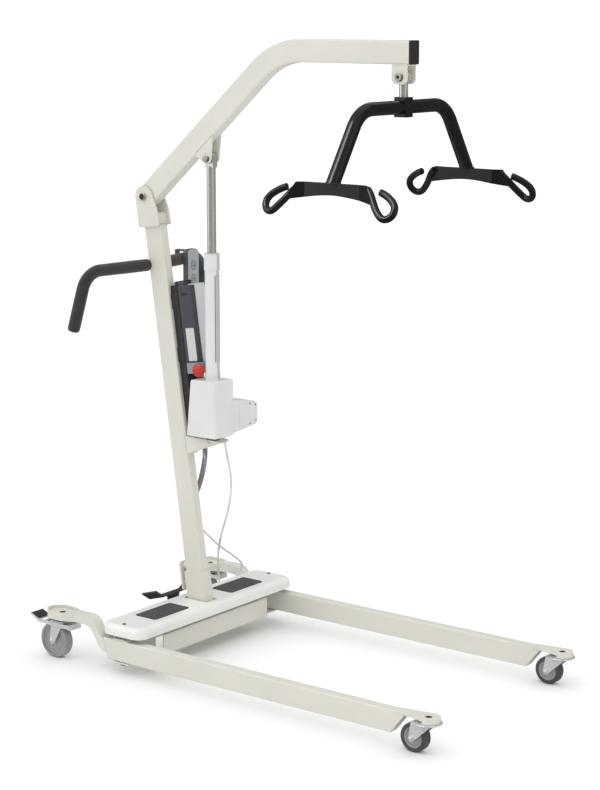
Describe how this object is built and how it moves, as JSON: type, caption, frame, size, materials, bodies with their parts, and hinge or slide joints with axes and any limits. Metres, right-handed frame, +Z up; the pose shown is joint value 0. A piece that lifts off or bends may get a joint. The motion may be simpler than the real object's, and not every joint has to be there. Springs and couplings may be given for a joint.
{
  "type": "patient lift hoist",
  "caption": "Mobile electric patient hoist: leaning mast, boom with lift actuator, sling spreader bar with curled hooks, and spreading legs on casters.",
  "frame": {"origin": "on the floor, in the middle of the wheelbase footprint", "axes": "+X forward towards the front casters and the boom's end, +Y to the user's left behind the handle, +Z up"},
  "size_m": [1.3599, 0.708, 1.7088],
  "materials": {
    "frame_paint": "cream powder coat, satin",
    "cover_plastic": "white moulded plastic, semi-gloss",
    "pad_rubber": "dark grey ribbed rubber",
    "grip_foam": "black closed-cell foam",
    "black_paint": "gloss black powder coat",
    "black_plastic": "moulded black plastic",
    "zinc_steel": "bright zinc plate",
    "bolt_steel": "zinc plated fasteners",
    "chrome_rod": "polished chrome",
    "housing_plastic": "light grey moulded plastic",
    "battery_plastic": "dark slate moulded plastic",
    "control_plastic": "mid grey moulded plastic",
    "red_plastic": "red push button cap",
    "hub_plastic": "light grey nylon",
    "tyre_rubber": "grey non-marking rubber",
    "tread_rubber": "dark grey rubber tread",
    "pendant_plastic": "light grey handset plastic",
    "button_rubber": "soft keypad rubber",
    "cord_sleeve": "grey coiled cable sleeve",
    "cable_sleeve": "white cable sleeve",
    "drive_metal": "motor and gear case"
  },
  "bodies": {
    "base": {"cross_beam": "frame_paint", "base_cover": "cover_plastic", "step_pads": "pad_rubber", "cover_screws": "black_plastic", "mast_socket": "frame_paint", "mast_tube": "frame_paint", "mast_clamp": "frame_paint", "mast_fork": "frame_paint", "frame_bolts": "bolt_steel", "handlebar": "frame_paint", "hand_grips": "grip_foam", "actuator_bracket": "frame_paint", "control_box": "control_plastic", "pendant_body": "pendant_plastic", "pendant_cord": "cord_sleeve", "motor_cable": "cable_sleeve", "charger_cable": "cable_sleeve"},
    "left_leg_assembly": {"left_leg": "frame_paint", "left_rear_arm": "frame_paint", "left_caster_stems": "bolt_steel"},
    "right_leg_assembly": {"right_leg": "frame_paint", "right_rear_arm": "frame_paint", "right_caster_stems": "bolt_steel"},
    "pedal": {"spread_pedal": "black_plastic"},
    "crank": {"bell_crank": "zinc_steel"},
    "left_link": {"left_tie_rod": "zinc_steel"},
    "right_link": {"right_tie_rod": "zinc_steel"},
    "boom": {"boom_tube": "frame_paint", "boom_end_cap": "black_plastic", "hanger_bracket": "frame_paint", "lift_bracket": "frame_paint", "boom_bolts": "bolt_steel"},
    "lift_rod": {"actuator_rod": "chrome_rod"},
    "lift_actuator": {"actuator_tube": "housing_plastic", "motor_housing": "housing_plastic", "drive_unit": "drive_metal"},
    "hanger": {"hanger_rod": "chrome_rod"},
    "spreader": {"spreader_saddle": "black_paint", "spreader_arch": "black_paint", "sling_hooks": "black_paint", "hook_bars": "black_paint"},
    "battery": {"battery_pack": "battery_plastic"},
    "stop_button": {"emergency_stop": "red_plastic"},
    "up_key": {"up_button": "button_rubber"},
    "down_key": {"down_button": "button_rubber"},
    "left_front_swivel": {"left_front_fork": "zinc_steel"},
    "left_front_wheel": {"left_front_hub": "hub_plastic", "left_front_tyre": "tread_rubber"},
    "left_rear_swivel": {"left_rear_fork": "zinc_steel"},
    "left_rear_wheel": {"left_rear_hub": "hub_plastic", "left_rear_tyre": "tyre_rubber"},
    "left_brake": {"left_brake_lever": "zinc_steel"},
    "right_front_swivel": {"right_front_fork": "zinc_steel"},
    "right_front_wheel": {"right_front_hub": "hub_plastic", "right_front_tyre": "tread_rubber"},
    "right_rear_swivel": {"right_rear_fork": "zinc_steel"},
    "right_rear_wheel": {"right_rear_hub": "hub_plastic", "right_rear_tyre": "tyre_rubber"},
    "right_brake": {"right_brake_lever": "zinc_steel"}
  },
  "joints": [
    {"name": "boom_lift", "type": "hinge", "parent": "base", "child": "boom", "pos_m": [-0.517, 0, 1.272], "axis": [0, 1, 0], "range_deg": [-2, 55]},
    {"name": "rod_swing", "type": "hinge", "parent": "boom", "child": "lift_rod", "pos_m": [-0.293, 0, 1.387], "axis": [0, 1, 0], "range_deg": [-55.05, 2.05]},
    {"name": "actuator_stroke", "type": "slide", "parent": "lift_rod", "child": "lift_actuator", "axis": [0, 0, 1], "range_m": [-0.0086, 0.2327]},
    {"name": "hanger_swing", "type": "hinge", "parent": "boom", "child": "hanger", "pos_m": [0.338, 0, 1.618], "axis": [0, 1, 0], "range_deg": [-55.05, 2.05]},
    {"name": "spreader_turn", "type": "hinge", "parent": "hanger", "child": "spreader", "pos_m": [0.338, 0, 1.543], "axis": [0, 0, 1], "continuous": true},
    {"name": "left_leg_spread", "type": "hinge", "parent": "base", "child": "left_leg_assembly", "pos_m": [-0.345, 0.32, 0.066], "axis": [0, 0, 1], "range_deg": [0, 10]},
    {"name": "right_leg_spread", "type": "hinge", "parent": "base", "child": "right_leg_assembly", "pos_m": [-0.345, -0.32, 0.066], "axis": [0, 0, -1], "range_deg": [-0.02, 10.02]},
    {"name": "pedal_tilt", "type": "hinge", "parent": "base", "child": "pedal", "pos_m": [-0.435, 0, 0.077], "axis": [1, 0, 0], "range_deg": [-0.05, 27.27]},
    {"name": "crank_turn", "type": "hinge", "parent": "base", "child": "crank", "pos_m": [-0.399, 0, 0.104], "axis": [0, 0, 1], "range_deg": [-0.05, 38.74]},
    {"name": "left_link_turn", "type": "hinge", "parent": "crank", "child": "left_link", "pos_m": [-0.409, 0, 0.111], "axis": [0, 0, 1], "range_deg": [-38.45, 0.05]},
    {"name": "right_link_turn", "type": "hinge", "parent": "crank", "child": "right_link", "pos_m": [-0.389, 0, 0.111], "axis": [0, 0, 1], "range_deg": [-38.25, 0.05]},
    {"name": "battery_lift_out", "type": "slide", "parent": "base", "child": "battery", "axis": [-0.1414, 0, 0.9899], "range_m": [0, 0.12]},
    {"name": "emergency_stop_press", "type": "slide", "parent": "base", "child": "stop_button", "axis": [0, 1, 0], "range_m": [0, 0.003]},
    {"name": "up_key_press", "type": "slide", "parent": "base", "child": "up_key", "axis": [-1, 0, 0], "range_m": [0, 0.0025]},
    {"name": "down_key_press", "type": "slide", "parent": "base", "child": "down_key", "axis": [-1, 0, 0], "range_m": [0, 0.0025]},
    {"name": "left_front_caster_swivel", "type": "hinge", "parent": "left_leg_assembly", "child": "left_front_swivel", "pos_m": [0.65, 0.32, 0.08], "axis": [0, 0, 1], "continuous": true},
    {"name": "left_front_wheel_spin", "type": "hinge", "parent": "left_front_swivel", "child": "left_front_wheel", "pos_m": [0.612, 0.32, 0.0375], "axis": [0, 1, 0], "continuous": true},
    {"name": "left_rear_caster_swivel", "type": "hinge", "parent": "left_leg_assembly", "child": "left_rear_swivel", "pos_m": [-0.577, 0.32, 0.11], "axis": [0, 0, 1], "continuous": true},
    {"name": "left_rear_wheel_spin", "type": "hinge", "parent": "left_rear_swivel", "child": "left_rear_wheel", "pos_m": [-0.602, 0.32, 0.05], "axis": [0, 1, 0], "continuous": true},
    {"name": "left_brake_press", "type": "hinge", "parent": "left_rear_swivel", "child": "left_brake", "pos_m": [-0.573, 0.32, 0.099], "axis": [0, -1, 0], "range_deg": [0, 4.5]},
    {"name": "right_front_caster_swivel", "type": "hinge", "parent": "right_leg_assembly", "child": "right_front_swivel", "pos_m": [0.65, -0.32, 0.08], "axis": [0, 0, 1], "continuous": true},
    {"name": "right_front_wheel_spin", "type": "hinge", "parent": "right_front_swivel", "child": "right_front_wheel", "pos_m": [0.612, -0.32, 0.0375], "axis": [0, 1, 0], "continuous": true},
    {"name": "right_rear_caster_swivel", "type": "hinge", "parent": "right_leg_assembly", "child": "right_rear_swivel", "pos_m": [-0.577, -0.32, 0.11], "axis": [0, 0, 1], "continuous": true},
    {"name": "right_rear_wheel_spin", "type": "hinge", "parent": "right_rear_swivel", "child": "right_rear_wheel", "pos_m": [-0.602, -0.32, 0.05], "axis": [0, 1, 0], "continuous": true},
    {"name": "right_brake_press", "type": "hinge", "parent": "right_rear_swivel", "child": "right_brake", "pos_m": [-0.573, -0.32, 0.099], "axis": [0, -1, 0], "range_deg": [0, 4.5]}
  ],
  "couplings": [
    {"joint": "rod_swing", "follows": "boom_lift", "ratio": -1},
    {"joint": "actuator_stroke", "follows": "boom_lift", "m_per_rad": 0.2422},
    {"joint": "hanger_swing", "follows": "boom_lift", "ratio": -1},
    {"joint": "right_leg_spread", "follows": "left_leg_spread", "ratio": 1},
    {"joint": "pedal_tilt", "follows": "left_leg_spread", "ratio": 2.722},
    {"joint": "crank_turn", "follows": "left_leg_spread", "ratio": 3.869},
    {"joint": "left_link_turn", "follows": "left_leg_spread", "ratio": -3.84},
    {"joint": "right_link_turn", "follows": "left_leg_spread", "ratio": -3.82}
  ]
}
